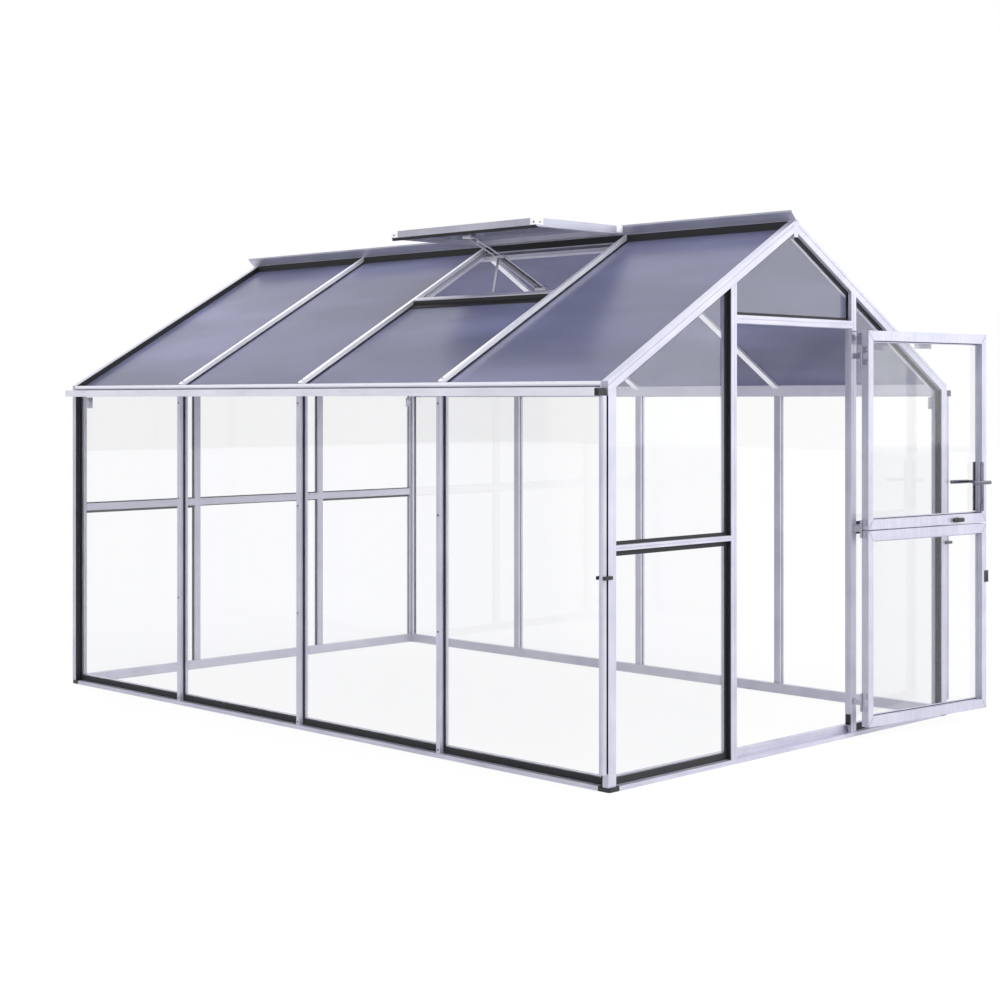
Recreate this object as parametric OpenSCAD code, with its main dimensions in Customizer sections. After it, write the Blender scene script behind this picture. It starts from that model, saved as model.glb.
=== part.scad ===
// Glass greenhouse with an aluminium frame, a two-leaf stable door and one open roof vent.
// Millimetres. X runs along the door gable, Y from the door gable to the back, Z is up.
// The origin is the middle of the front sill's underside.

/* [Building] */
// Width over the sills
house_w = 2485; // [1900:5:3600]
// Spacing of the wall bars and roof bars
bay_l = 957.5; // [700:2.5:1200]
// Number of glazing bays in each long wall
bay_count = 4; // [3:1:8]
// Height of the roof line at the outer face of the long walls
eave_z = 1610; // [1450:5:2200]
// Pitch of the roof in degrees
pitch = 30; // [24:1:36]

/* [Sill] */
// Depth of the sill through the wall
sill_d = 60; // [56:1:90]
// Height of the sill's outer lip
lip_h = 19; // [12:1:30]
// Height of the sill's inner upstand
upstand_h = 50; // [35:1:80]
// Length of a corner cap's arms
cap_arm = 60; // [58:1:70]
// Radius of a corner cap's outer corner
cap_round = 12; // [4:1:20]

/* [Bars] */
// Distance from the outer sill face to the faces of the bars and door posts
face_inset = 5; // [2:1:14]
// Depth of a bar's nose in front of the glass
nose_d = 26; // [20:1:30]
// Width of a bar's nose
nose_w = 22; // [16:1:32]
// Width of a bar's inner flange
flange_w = 38; // [36:1:70]
// Depth of a bar's inner flange
flange_d = 14; // [8:1:16]
// Width of a door post's face
post_w = 38; // [36:1:50]
// Width of a corner post on the gable
corner_w = 46; // [42:1:50]
// Distance from the outer sill face to the corner posts' gable faces
corner_inset = 5; // [2:1:16]

/* [Glass] */
// Thickness of the glass
glass_t = 4; // [3:0.5:6]
// Gap between a pane's edge and the bar beside it
glass_gap = 2; // [1:0.5:4]
// Width of a glazing seal
seal_w = 14; // [8:1:22]
// Thickness of a glazing seal
seal_t = 4; // [2:0.5:6]
// Height of the seal above the sill
sill_seal_h = 27; // [14:1:30]
// Thickness of the black cover on a post's side
cover_t = 2; // [1:0.5:4]

/* [Gables] */
// Distance from the middle of the doorway to the outer edge of a door post
post_x = 463; // [400:1:700]
// Height of the middle of the gable transoms
transom_z = 953; // [700:1:1200]
// Underside of the door's head rail
head_z = 1861; // [1700:1:1900]
// Height of the door's head rail
head_h = 34; // [24:1:50]
// Width of a door post's outer lip in the doorway
post_lip = 14; // [8:1:20]

/* [Eaves] */
// Drop from the roof line at the outer wall face to the gutter's underside
gutter_drop = 58; // [54:1:70]
// Height of a gutter
gutter_h = 34; // [24:1:36]
// Width of a gutter
gutter_w = 44; // [36:1:80]
// Wall of a gutter
gutter_t = 3; // [2:0.5:5]
// Length of a gutter outlet
outlet_l = 22; // [18:1:60]
// Diameter of a downpipe
pipe_dia = 30; // [22:1:50]
// Height of a downpipe's lower end
pipe_foot_z = 72; // [40:1:300]
// Height of the middle of a downpipe clip
clip_z = 840; // [400:1:1300]

/* [Roof] */
// Depth of a rafter below the roof line
rafter_d = 45; // [45:1:90]
// Width of the ridge cap
ridge_w = 100; // [70:1:140]
// Height of the ridge cap above the apex of the roof line
ridge_h = 38; // [34:1:80]
// Overhang of the ridge past each gable
ridge_over = 5; // [0:1:40]

/* [Roof vent] */
// Bay of the left slope that holds the vent, counted from the door gable
vent_bay = 2; // [1:1:3]
// Distance from the ridge line to the vent's sill, measured level
vent_run = 508; // [400:1:700]
// Length of the vent sash
sash_l = 590; // [420:1:680]
// Thickness of the vent sash
sash_t = 38; // [24:1:45]
// Width of the sash's frame bars
sash_bar = 35; // [24:1:60]
// Overlap of the sash over the bay's edges
sash_lap = 25; // [5:1:40]

/* [Stable door] */
// Width of the two door leaves
leaf_w = 866; // [860:1:872]
// Thickness of the door leaves
leaf_t = 39; // [30:1:48]
// Underside of the lower leaf
leaf_z = 50; // [40:1:80]
// Top of the upper leaf
leaf_top = 1850; // [1600:1:1855]
// Height of the split between the leaves
split_z = 943; // [800:1:1100]
// Gap between moving and fixed pieces
run_gap = 5; // [5:0.5:8]
// Gap between the closed leaves and the door posts
face_gap = 6; // [5:0.5:10]
// Width of a leaf's stiles
stile_w = 34; // [28:1:60]
// Height of a leaf's rails
rail_h = 45; // [34:1:80]
// Angle between the closed and the open leaf
open_angle = 173.4; // [90:0.1:175]
// Hinge axis, measured from the middle of the doorway
hinge_x = 434; // [432:1:440]
// Distance from the hinge axis to the leaf's edge
hinge_off = 6; // [5.5:0.5:8]
// Radius of a hinge knuckle
knuckle_r = 4.5; // [3.5:0.5:5]
// Radius of a hinge pin
pin_r = 2.5; // [1.5:0.1:3]
// Running gap of a hinge pin
pin_gap = 0.1; // [0.05:0.05:0.3]
// Height of a hinge knuckle
knuckle_h = 26; // [20:1:27]
// Distance between the middles of neighbouring knuckles
knuckle_step = 28; // [28:1:34]

/* [Hidden] */
$fn = 48;

bar_start = 27;                            // extra length of the first and the last bay
house_l = bay_l * bay_count + 2 * bar_start;
half_w = house_w / 2;
glass_n = face_inset + nose_d;             // outer face of the wall glass, from the sill's outer face
flange_n = glass_n + glass_t;              // outer face of the inner flanges
bar_back = flange_n + flange_d;            // inner face of the bars
glass_z = lip_h + glass_gap;               // lower edge of the wall glass
apex_z = eave_z + half_w * tan(pitch);     // apex of the roof line
core_w = 30;                               // width of the ridge's core between the bars
glass_d = nose_d;                          // depth of the roof glass below the roof line
bar_d = glass_d + glass_t;                 // depth of the roof bars' flanges below the roof line
bar_end_d = bar_d + flange_d;              // underside of the roof bars
seat = 0.05;                               // gap that keeps sloping faces from overlapping
rest_d = bar_d + 2 * seat;                 // depth of the faces that the roof bars rest on
seal_d = glass_d - 2 * seat;               // inner face of the roof seals
wall_seal_w = 7;                           // seals beside the side walls' bars
roof_seal_w = 6;                           // seals beside the roof bars
transom_band = 22;                         // seals below the gables' side transoms
rafter_in = 6;                             // outer face of the rafters
rafter_w = 34;                             // width of a rafter's main section
rafter_lap = 18;                           // flange of a rafter behind the gable glass
eave_nose = 4;                             // inner side of the eave beam's nose
beam_proud = 6;                            // eave beam's outer face in front of the sill's
beam_z = eave_z - 44;                      // underside of the eave beam
beam_low = eave_z - 54;                    // underside of the eave beam's inner leg
lip_d = 18;                                // depth of a door post's lip
post_flange = 12;                          // door post's flange behind the side pane
back_flange_w = 36;                        // width of the back posts' flanges
wing_w = 30;                               // ridge's flange behind the roof glass
clip_h = 14;                               // height of a downpipe clip
clip_t = 6;                                // thickness of a clip's arms
pipe_x = half_w + 1 + pipe_dia / 2;        // middle of a downpipe
pipe_y = 20;                               // middle of a downpipe
eave_glass_n = eave_nose + glass_gap;      // lower edge of the roof glass
head_n = glass_n - seal_t;                 // outer face of the glazing seals
cover_n = face_inset + 4;                  // outer edge of the covers on the bars' sides
gable_top_d = rafter_d + glass_gap;        // top edge of the gable glass below the roof line
back_post_x = post_x - 12;                 // middle of the back posts
gutter_z = eave_z - gutter_drop;           // underside of the gutters
bar_tip_n = 20;                            // lower end of the roof bars' noses
groove_w = 2;                              // width of the grooves in the bars' faces
groove_d = 3;                              // depth of the grooves in the bars' faces
metal = "gainsboro";
dark = "#26262c";

// Height of a plane parallel to the roof line, at x, and depth d below the roof line
function roof_z(x, d) = apex_z - abs(x) * tan(pitch) - d / cos(pitch);

// Positions of the bars along the building, from the outer face of the front sill
function bar_y(i) = i * bay_l + bar_start;

// The building is drawn from the outer face of its front sill, then moved to the origin
module house() translate([0, -sill_d / 2, 0]) children();
module both_sides() for (s = [0, 1]) mirror([s, 0, 0]) children();
module at_back() translate([0, house_l, 0]) mirror([0, 1, 0]) children();
module both_ends() { children(); at_back() children(); }

// Outline in X and Z, extruded from y0 to y1
module along_y(points, y0, y1)
    translate([0, y1, 0]) rotate([90, 0, 0]) linear_extrude(y1 - y0) polygon(points);

// Slab of the left slope between two distances from the middle and two depths
module slope_slab(x_low, x_high, d0, d1, y0, y1)
    along_y([[-x_low, roof_z(x_low, d0)], [-x_high, roof_z(x_high, d0)],
        [-x_high, roof_z(x_high, d1)], [-x_low, roof_z(x_low, d1)]], y0, y1);

// Everything of the children that lies below a depth under the roof line
module below_roof(d)
    intersection() {
        children();
        along_y([[-half_w, 0], [half_w, 0], [half_w, roof_z(half_w, d)], [0, roof_z(0, d)],
            [-half_w, roof_z(half_w, d)]], -1, house_l + 1);
    }

// ---- Sills ----

// Section of a sill: x is the distance from the outer face, y is the height
sill_section = [[0, 0], [sill_d, 0], [sill_d, upstand_h], [flange_n, upstand_h],
    [flange_n, lip_h], [0, lip_h]];

module gable_sill() translate([-half_w + cap_arm, 0, 0])
    rotate([90, 0, 90]) linear_extrude(house_w - 2 * cap_arm) polygon(sill_section);

module front_sill() color(metal) house() gable_sill();
module back_sill() color(metal) house() at_back() gable_sill();

module side_sills() color(metal) house() both_sides()
    translate([-half_w, house_l - cap_arm, 0]) rotate([90, 0, 0])
        linear_extrude(house_l - 2 * cap_arm) polygon(sill_section);

module sill_corner_caps() color(dark) house() both_ends() both_sides() translate([-half_w, 0, 0]) {
    translate([cap_round, cap_round, 0]) cylinder(h = lip_h, r = cap_round);
    translate([cap_round, 0, 0]) cube([cap_arm - cap_round, cap_arm, lip_h]);
    translate([0, cap_round, 0]) cube([cap_arm, cap_arm - cap_round, lip_h]);
}

// ---- Posts and wall bars ----

// A corner post stands on its cap and reaches the rafter's foot and the eave beam
module corner_posts() color(metal) house() both_ends() both_sides() {
    below_roof(rafter_d + seat) translate([-half_w, corner_inset, lip_h])
        cube([corner_w, flange_n - corner_inset, eave_z]);
    translate([-half_w, 0, lip_h]) linear_extrude(beam_low - lip_h)
        polygon([[flange_n, flange_n], [cap_arm, flange_n], [cap_arm, bar_back],
            [bar_back, bar_back], [bar_back, cap_arm], [flange_n, cap_arm]]);
}

// A groove cut into a face that looks to the front; x and z are its lower corner
module face_groove(x, z, along_x, along_z)
    translate([x, face_inset - 1, z]) cube([along_x, groove_d + 1, along_z]);

// A door post runs from the front sill to the rafter, with a flange behind the side pane
module door_post() {
    inner = post_x - post_w;
    below_roof(rafter_d + seat) {
        difference() {
            translate([inner, face_inset, lip_h]) cube([post_w, lip_d, apex_z]);
            face_groove(inner + post_lip, lip_h - 1, groove_w, apex_z + 2);
        }
        translate([inner + post_lip, face_inset + lip_d - 1, lip_h])
            cube([post_w - post_lip, flange_n - face_inset - lip_d + 1, apex_z]);
    }
    below_roof(rafter_d + rafter_lap + seat) translate([inner + post_lip, flange_n, upstand_h])
        cube([post_w - post_lip + post_flange, flange_d, apex_z]);
}

module door_posts() color(metal) house() both_sides() door_post();

// A wall bar has a nose outside the glass and a flange inside it
module wall_bar(y) {
    translate([-half_w + face_inset, y - nose_w / 2, lip_h])
        cube([flange_n - face_inset, nose_w, beam_z - lip_h]);
    translate([-half_w + flange_n, y - flange_w / 2, upstand_h])
        cube([flange_d, flange_w, beam_low - upstand_h]);
}

module back_posts() color(metal) house() at_back() both_sides() {
    below_roof(rafter_d + seat) translate([back_post_x - nose_w / 2, face_inset, lip_h])
        cube([nose_w, flange_n - face_inset, apex_z]);
    below_roof(rafter_d + rafter_lap)
        translate([back_post_x - back_flange_w / 2, flange_n, upstand_h])
            cube([back_flange_w, flange_d, apex_z]);
}

module side_wall_bars() color(metal) house() both_sides() for (i = [1 : bay_count - 1])
    wall_bar(bar_y(i));

// ---- Gable transoms ----

// A gable transom between two posts; its flange stops short of the posts' flanges
module transom(x0, x1, flange_x0, flange_x1, z) {
    difference() {
        translate([x0, face_inset, z - nose_w / 2]) cube([x1 - x0, flange_n - face_inset, nose_w]);
        face_groove(x0 - 1, z - groove_w / 2, x1 - x0 + 2, groove_w);
    }
    translate([flange_x0, flange_n, z - flange_w / 2])
        cube([flange_x1 - flange_x0, flange_d, flange_w]);
}

module gable_transoms() color(metal) house() {
    corner_side = half_w - corner_w;
    back_side = back_post_x + nose_w / 2;
    back_half = back_post_x - nose_w / 2;
    back_flange_half = back_post_x - back_flange_w / 2;
    both_sides() transom(post_x, corner_side, post_x + post_flange, half_w - cap_arm, transom_z);
    at_back() {
        both_sides() transom(back_side, corner_side, back_post_x + back_flange_w / 2,
            half_w - cap_arm, transom_z);
        for (z = [transom_z, head_z + head_h / 2])
            transom(-back_half, back_half, -back_flange_half, back_flange_half, z);
    }
}

// The head rail closes the doorway and carries the pane above it
module door_head_rail() color(metal) house() {
    outer = post_x - post_w;
    inner = outer + post_lip;
    difference() {
        translate([-outer, face_inset, head_z]) cube([2 * outer, lip_d, head_h]);
        face_groove(-outer - 1, head_z + head_h / 2, 2 * outer + 2, groove_w);
    }
    translate([-inner, face_inset + lip_d, head_z])
        cube([2 * inner, bar_back - face_inset - lip_d, head_h]);
    translate([-inner, flange_n, head_z]) cube([2 * inner, flange_d, head_h + seal_w]);
}

// ---- Eaves and gutters ----

module eave_beams() color(metal) house() both_sides()
    along_y([[-half_w - beam_proud, beam_z], [-half_w - beam_proud, eave_z],
        [-half_w + eave_nose, eave_z], [-half_w + eave_nose, roof_z(half_w - eave_nose, rest_d)],
        [-half_w + sill_d, roof_z(half_w - sill_d, rest_d)], [-half_w + sill_d, beam_low],
        [-half_w + flange_n, beam_low], [-half_w + flange_n, beam_z]],
        rafter_in + rafter_w, house_l - rafter_in - rafter_w);

gutter_out = half_w + beam_proud + gutter_w;
outlet_y = rafter_in + rafter_w - 6 - outlet_l;

module gutters() color(metal) house() both_sides()
    difference() {
        translate([-gutter_out, outlet_y + outlet_l, gutter_z])
            cube([gutter_w, house_l - 2 * outlet_y - outlet_l, gutter_h]);
        translate([-gutter_out + gutter_t, outlet_y, gutter_z + gutter_t])
            cube([gutter_w - 2 * gutter_t, house_l - 2 * outlet_y - gutter_t, gutter_h]);
    }

module gutter_outlets() color(dark) house() both_sides()
    translate([-gutter_out, outlet_y, gutter_z]) cube([gutter_w, outlet_l, gutter_h - 4]);

module downpipes() color(metal) house() both_sides()
    translate([-pipe_x, pipe_y, pipe_foot_z]) cylinder(h = gutter_z - pipe_foot_z, d = pipe_dia);

// A clip holds the pipe between two arms; the front arm also lies on the corner post's face
module downpipe_clips() color(dark) house() both_sides() {
    clip_x = pipe_x + pipe_dia / 2 + 2;
    back_y = pipe_y + pipe_dia / 2;
    translate([0, 0, clip_z - clip_h / 2]) difference() {
        union() {
            translate([-clip_x, -clip_t, 0]) cube([clip_x - half_w, back_y + 2 * clip_t, clip_h]);
            translate([-clip_x, -clip_t, 0]) cube([clip_x - half_w + 15, corner_inset + clip_t, clip_h]);
        }
        translate([-clip_x - 1, corner_inset, -1])
            cube([clip_x - pipe_x + 1, back_y - corner_inset, clip_h + 2]);
        translate([-pipe_x, pipe_y, -1]) cylinder(h = clip_h + 2, d = pipe_dia);
    }
}

// ---- Rafters, roof bars and ridge ----

groove_z = 14;                             // depth of the rafters' groove below the roof line

// A gable rafter has one flange inside the roof glass and one inside the gable glass
module gable_rafters() both_sides() {
    inner = rafter_in + rafter_w;
    difference() {
        slope_slab(half_w, core_w / 2, 0, rafter_d, rafter_in, inner);
        slope_slab(half_w + 1, core_w / 2 - 1, groove_z, groove_z + groove_w, rafter_in - 1, rafter_in + groove_d);
    }
    slope_slab(half_w - sill_d, core_w / 2 + wing_w, bar_d, bar_end_d, inner - seat, inner + 20);
    slope_slab(half_w - sill_d, core_w / 2, rafter_d - seat, rafter_d + rafter_lap, flange_n, bar_back);
    slope_slab(half_w - sill_d, core_w / 2 + wing_w, bar_end_d - seat, rafter_d,
        inner - seat, bar_back);
}

module front_rafters() color(metal) house() gable_rafters();
module back_rafters() color(metal) house() at_back() gable_rafters();

module slope_bar(y) {
    slope_slab(half_w - bar_tip_n, core_w / 2, 0, bar_d + seat, y - nose_w / 2, y + nose_w / 2);
    slope_slab(half_w - sill_d, core_w / 2 + wing_w, bar_d, bar_end_d,
        y - flange_w / 2, y + flange_w / 2);
}

module roof_bars() color(metal) house() both_sides()
    for (i = [1 : bay_count - 1]) slope_bar(bar_y(i));

// Right half of the ridge's section, from the top down
ridge_top = apex_z + ridge_h;
ridge_half = [[ridge_w / 2, ridge_top], [ridge_w / 2, ridge_top - 8], [core_w / 2, apex_z - 4],
    [core_w / 2, roof_z(core_w / 2, rest_d)], [core_w / 2 + wing_w, roof_z(core_w / 2 + wing_w, rest_d)],
    [core_w / 2 + wing_w, roof_z(core_w / 2 + wing_w, bar_end_d)]];
ridge_section = concat(ridge_half,
    [for (i = [len(ridge_half) - 1 : -1 : 0]) [-ridge_half[i][0], ridge_half[i][1]]]);
wing_section = [[ridge_w / 2, ridge_top], [ridge_w / 2, ridge_top - 8], [core_w / 2, apex_z - 4],
    [-core_w / 2, apex_z - 4], [-ridge_w / 2, ridge_top - 8], [-ridge_w / 2, ridge_top]];

module ridge_beam() color(metal) house() difference() {
    along_y(ridge_section, -ridge_over, house_l + ridge_over);
    both_ends() along_y([[-ridge_w, 0], [ridge_w, 0], [ridge_w, apex_z - 4], [-ridge_w, apex_z - 4]],
        -ridge_over - 1, rafter_in);
    both_ends() both_sides() along_y([[core_w / 2, 0], [ridge_w, 0], [ridge_w, apex_z - 4],
        [core_w / 2, apex_z - 4]], rafter_in - 1, bar_back);
}

module ridge_end_caps() color("white") house() both_ends()
    along_y(wing_section, -ridge_over - 4, -ridge_over);

// ---- Roof vent, fixed open ----

vent_y0 = bar_y(vent_bay - 1) + nose_w / 2;
vent_y1 = bar_y(vent_bay) - nose_w / 2;
sash_x = ridge_w / 2;
sash_z = ridge_top - 5;

module roof_vent_sill() color(metal) house() {
    flange_y0 = vent_y0 + (flange_w - nose_w) / 2;
    flange_y1 = vent_y1 - (flange_w - nose_w) / 2;
    slope_slab(vent_run + 10, vent_run - 10, 0, bar_d - seat, vent_y0, vent_y1);
    slope_slab(vent_run + 10, vent_run - 10, glass_d, bar_d + 1, flange_y0, flange_y1);
    slope_slab(vent_run + 20, vent_run - 10, bar_d, bar_end_d, flange_y0, flange_y1);
}

// The sash hangs from the ridge; x runs from the hinge towards the eave
module sash_frame(length, width)
    difference() {
        translate([-length, 0, -sash_t]) cube([length, width, sash_t]);
        translate([-length + sash_bar, sash_bar, -sash_t - 1])
            cube([length - 2 * sash_bar, width - 2 * sash_bar, sash_t + 2]);
    }

module place_sash() translate([-sash_x, vent_y0 - sash_lap, sash_z]) children();
sash_w = vent_y1 - vent_y0 + 2 * sash_lap;

module roof_vent_frame() color(metal) house() place_sash() sash_frame(sash_l, sash_w);

module roof_vent_glass() color("slategray", 0.5) house() place_sash()
    translate([-sash_l + sash_bar, sash_bar, -10 - glass_t])
        cube([sash_l - 2 * sash_bar, sash_w - 2 * sash_bar, glass_t]);

// The opener links the sash's front bar, the vent sill and a thrust tube inside the roof
opener_y = (vent_y0 + vent_y1) / 2;
sash_end = [-sash_x - sash_l + 56, apex_z - 20];
elbow = [-sash_x - 341, apex_z - 101];
knee = [elbow[0] - 40, elbow[1] - 180];
sill_foot = [-vent_run + 22, roof_z(vent_run - 22, bar_end_d)];
tube_end = [-100, apex_z - 241];
link_t = 8;

// A flat link between two points, each an X and a Z, standing from y0 for its thickness
module link(a, b, width, y0, thickness) {
    run = b - a;
    translate([a[0], y0 + thickness, a[1]]) rotate([90, -atan2(run[1], run[0]), 0])
        linear_extrude(thickness) translate([0, -width / 2]) square([norm(run), width]);
}

module pivot(at, diameter, half)
    translate([at[0], opener_y + half, at[1]]) rotate([90, 0, 0]) cylinder(h = 2 * half, d = diameter);

module vent_opener() color("silver") house() {
    translate([sash_end[0] - 26, opener_y - 28, sash_end[1] - 10])
        cube([38, 56, sash_z - sash_t - sash_end[1] + 10]);
    for (y = [-24, 24 - link_t]) link(sash_end, elbow, 14, opener_y + y, link_t);
    link(elbow, knee, 12, opener_y - link_t, 2 * link_t);
    link(knee, sill_foot, 10, opener_y - link_t + 1, 2 * link_t - 2);
    for (y = [-34, 34 - link_t]) link(elbow, tube_end, 10, opener_y + y, link_t);
    link(elbow, tube_end, 20, opener_y - 12, 24);
    pivot(elbow, 24, 36);
    pivot(knee, 18, link_t + 2);
    pivot(tube_end, 24, 36);
}

// ---- Glass ----

module side_wall_glass() color("lightcyan", 0.3) house() both_sides() for (i = [0 : bay_count - 1]) {
    end_y = rafter_in + rafter_w + glass_gap;
    y0 = i == 0 ? end_y : bar_y(i) + nose_w / 2 + glass_gap;
    y1 = i == bay_count - 1 ? house_l - end_y : bar_y(i + 1) - nose_w / 2 - glass_gap;
    translate([-half_w + glass_n, y0, glass_z]) cube([glass_t, y1 - y0, beam_z - glass_gap - glass_z]);
}

corner_in = half_w - corner_w;             // pane side of the corner posts

module pane(points) along_y(points, glass_n, flange_n);

// Side panes of a gable; post_out is the pane side of the post beside them
module gable_side_panes(post_out) {
    x0 = corner_in - glass_gap;
    x1 = post_out + glass_gap;
    low = transom_z - nose_w / 2 - glass_gap;
    high = transom_z + nose_w / 2 + glass_gap;
    both_sides() {
        pane([[-x0, glass_z], [-x1, glass_z], [-x1, low], [-x0, low]]);
        pane([[-x0, high], [-x1, high], [-x1, roof_z(x1, gable_top_d)],
            [-x0, roof_z(x0, gable_top_d)]]);
    }
}

// Pane under the apex, with its tip cut off below the ridge
module apex_pane(half, low) {
    tip_z = roof_z(core_w / 2 + wing_w, bar_end_d) - glass_gap;
    tip_x = (apex_z - gable_top_d / cos(pitch) - tip_z) / tan(pitch);
    pane([[-half, low], [half, low], [half, roof_z(half, gable_top_d)], [tip_x, tip_z],
        [-tip_x, tip_z], [-half, roof_z(half, gable_top_d)]]);
}

module front_glass() color("lightcyan", 0.3) house() {
    gable_side_panes(post_x);
    apex_pane(post_x - post_w + post_lip - glass_gap, head_z + head_h + glass_gap);
}

module back_glass() color("lightcyan", 0.3) house() at_back() {
    half = back_post_x - nose_w / 2 - glass_gap;
    gable_side_panes(back_post_x + nose_w / 2);
    head = head_z + head_h / 2;
    pane([[-half, glass_z], [half, glass_z], [half, transom_z - nose_w / 2 - glass_gap],
        [-half, transom_z - nose_w / 2 - glass_gap]]);
    pane([[-half, transom_z + nose_w / 2 + glass_gap], [half, transom_z + nose_w / 2 + glass_gap],
        [half, head - nose_w / 2 - glass_gap], [-half, head - nose_w / 2 - glass_gap]]);
    apex_pane(half, head + nose_w / 2 + glass_gap);
}

// Panes of one slope; x_high gives the upper edge of each bay's pane
module slope_panes(with_vent) for (i = [0 : bay_count - 1]) {
    y0 = i == 0 ? rafter_in + rafter_w + glass_gap : bar_y(i) + nose_w / 2 + glass_gap;
    y1 = i == bay_count - 1 ? house_l - rafter_in - rafter_w - glass_gap
        : bar_y(i + 1) - nose_w / 2 - glass_gap;
    x_high = with_vent && i == vent_bay - 1 ? vent_run + 10 + glass_gap : core_w / 2 + glass_gap;
    slope_slab(half_w - eave_glass_n, x_high, glass_d - seat, bar_d - seat, y0, y1);
}

module left_roof_glass() color("slategray", 0.5) house() slope_panes(true);
module right_roof_glass() color("slategray", 0.5) house() mirror([1, 0, 0]) slope_panes(false);

// ---- Seals ----

corner_cover_w = rafter_in + rafter_w + cover_t - flange_n;

module corner_cover(y) translate([-half_w + 1, y, lip_h])
    cube([head_n - 1, corner_cover_w, beam_z - 10 - lip_h]);

module side_wall_seals() color(dark) house() both_sides() for (i = [0 : bay_count - 1]) {
    y0 = i == 0 ? rafter_in + rafter_w : bar_y(i) + nose_w / 2;
    y1 = i == bay_count - 1 ? house_l - rafter_in - rafter_w : bar_y(i + 1) - nose_w / 2;
    translate([-half_w + head_n, y0, lip_h]) difference() {
        cube([seal_t, y1 - y0, beam_z - lip_h]);
        translate([-1, wall_seal_w, sill_seal_h])
            cube([seal_t + 2, y1 - y0 - 2 * wall_seal_w, beam_z - lip_h - sill_seal_h + 1]);
    }
    if (i == 0) corner_cover(flange_n);
    if (i == bay_count - 1) corner_cover(house_l - flange_n - corner_cover_w);
}

// A seal lies on the outer face of a pane, between its outline and its opening
module seal(outline, hole) translate([0, glass_n, 0]) rotate([90, 0, 0])
    linear_extrude(seal_t) difference() {
        polygon(outline);
        polygon(hole);
    }

// Four-sided seal between two uprights; the top follows the roof line or stays level
module side_seal(x0, x1, low, high, low_band, sloped) {
    top_d = rafter_d + 2 * seat;
    in_d = top_d + seal_w;
    seal([[-x0, low], [-x1, low], [-x1, sloped ? roof_z(x1, top_d) : high],
        [-x0, sloped ? roof_z(x0, top_d) : high]],
        [[-x0 + seal_w, low + low_band], [-x1 - seal_w, low + low_band],
        [-x1 - seal_w, sloped ? roof_z(x1 + seal_w, in_d) : high - transom_band],
        [-x0 + seal_w, sloped ? roof_z(x0 - seal_w, in_d) : high - transom_band]]);
}

// Seals of a gable's side panes, and the covers on the sides of the bars that face one way
module gable_side_seals(post_out) {
    low = transom_z - nose_w / 2;
    high = transom_z + nose_w / 2;
    both_sides() {
        side_seal(corner_in, post_out, lip_h, low, sill_seal_h, false);
        side_seal(corner_in, post_out, high, 0, seal_w, true);
    }
}

// A thin cover beside a post, from the seal forwards; x is its side nearer the left wall
module side_cover(x, low, high) translate([x, cover_n, low])
    cube([cover_t, head_n - cover_n, high - low]);

module gable_covers(post_out) {
    low = transom_z - nose_w / 2;
    high = transom_z + nose_w / 2;
    for (x = [-post_out - cover_t, corner_in - cover_t]) {
        side_cover(x, lip_h, low);
        side_cover(x, high, roof_z(x, rafter_d) - 4);
    }
}

module level_seal(half, low, high, low_band)
    seal([[-half, low], [half, low], [half, high], [-half, high]],
        [[-half + seal_w, low + low_band], [half - seal_w, low + low_band],
        [half - seal_w, high - seal_w], [-half + seal_w, high - seal_w]]);

module apex_seal(half, low, side_band) {
    tip_z = roof_z(core_w / 2 + wing_w, bar_end_d) - glass_gap;
    top_d = rafter_d + 2 * seat;
    tip_x = (apex_z - top_d / cos(pitch) - tip_z) / tan(pitch);
    in_d = top_d + seal_w;
    in_half = half - side_band;
    seal([[-half, low], [half, low], [half, roof_z(half, top_d)], [tip_x, tip_z],
        [-tip_x, tip_z], [-half, roof_z(half, top_d)]],
        [[-in_half, low + seal_w], [in_half, low + seal_w], [in_half, roof_z(in_half, in_d)],
        [0, roof_z(0, in_d)], [-in_half, roof_z(in_half, in_d)]]);
}

module gable_seals() color(dark) house() {
    gable_side_seals(post_x);
    gable_covers(post_x);
    apex_seal(post_x - post_w + post_lip, head_z + head_h, post_lip + 8);
    at_back() {
        half = back_post_x - nose_w / 2;
        head = head_z + head_h / 2;
        gable_side_seals(back_post_x + nose_w / 2);
        level_seal(half, lip_h, transom_z - nose_w / 2, sill_seal_h);
        level_seal(half, transom_z + nose_w / 2, head - nose_w / 2, seal_w);
        apex_seal(half, head + nose_w / 2, seal_w);
    }
}

// Strips on the roof glass beside the rafters and bars, below the ridge and above the vent sill
module slope_seals(with_vent) for (i = [0 : bay_count - 1]) {
    y0 = i == 0 ? rafter_in + rafter_w : bar_y(i) + nose_w / 2;
    y1 = i == bay_count - 1 ? house_l - rafter_in - rafter_w : bar_y(i + 1) - nose_w / 2;
    open = with_vent && i == vent_bay - 1;
    top = open ? vent_run + 10 : core_w / 2;
    band = open ? 26 : 4;
    for (y = [y0, y1 - roof_seal_w])
        slope_slab(half_w - eave_nose, top, seal_d - seal_t, seal_d, y, y + roof_seal_w);
    slope_slab(top + band, top, seal_d - seal_t, seal_d,
        y0 + roof_seal_w - seat, y1 - roof_seal_w + seat);
    cover_z = roof_z(core_w / 2, seal_d - 1);
    along_y([[-core_w / 2 - cover_t, cover_z], [-core_w / 2, cover_z],
        [-core_w / 2, apex_z - 6], [-core_w / 2 - cover_t, apex_z - 6]], y0, y1);
    if (i == 0) rafter_cover(y0);
    if (i == bay_count - 1) rafter_cover(y1 - cover_t);
}

// Cover on the side of a gable rafter that faces the roof glass
module rafter_cover(y)
    slope_slab(half_w - eave_nose, core_w / 2, 1, seal_d - seal_t + 1, y, y + cover_t);

module roof_seals() color(dark) house() {
    slope_seals(true);
    mirror([1, 0, 0]) slope_seals(false);
}

// ---- Stable door ----

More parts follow.
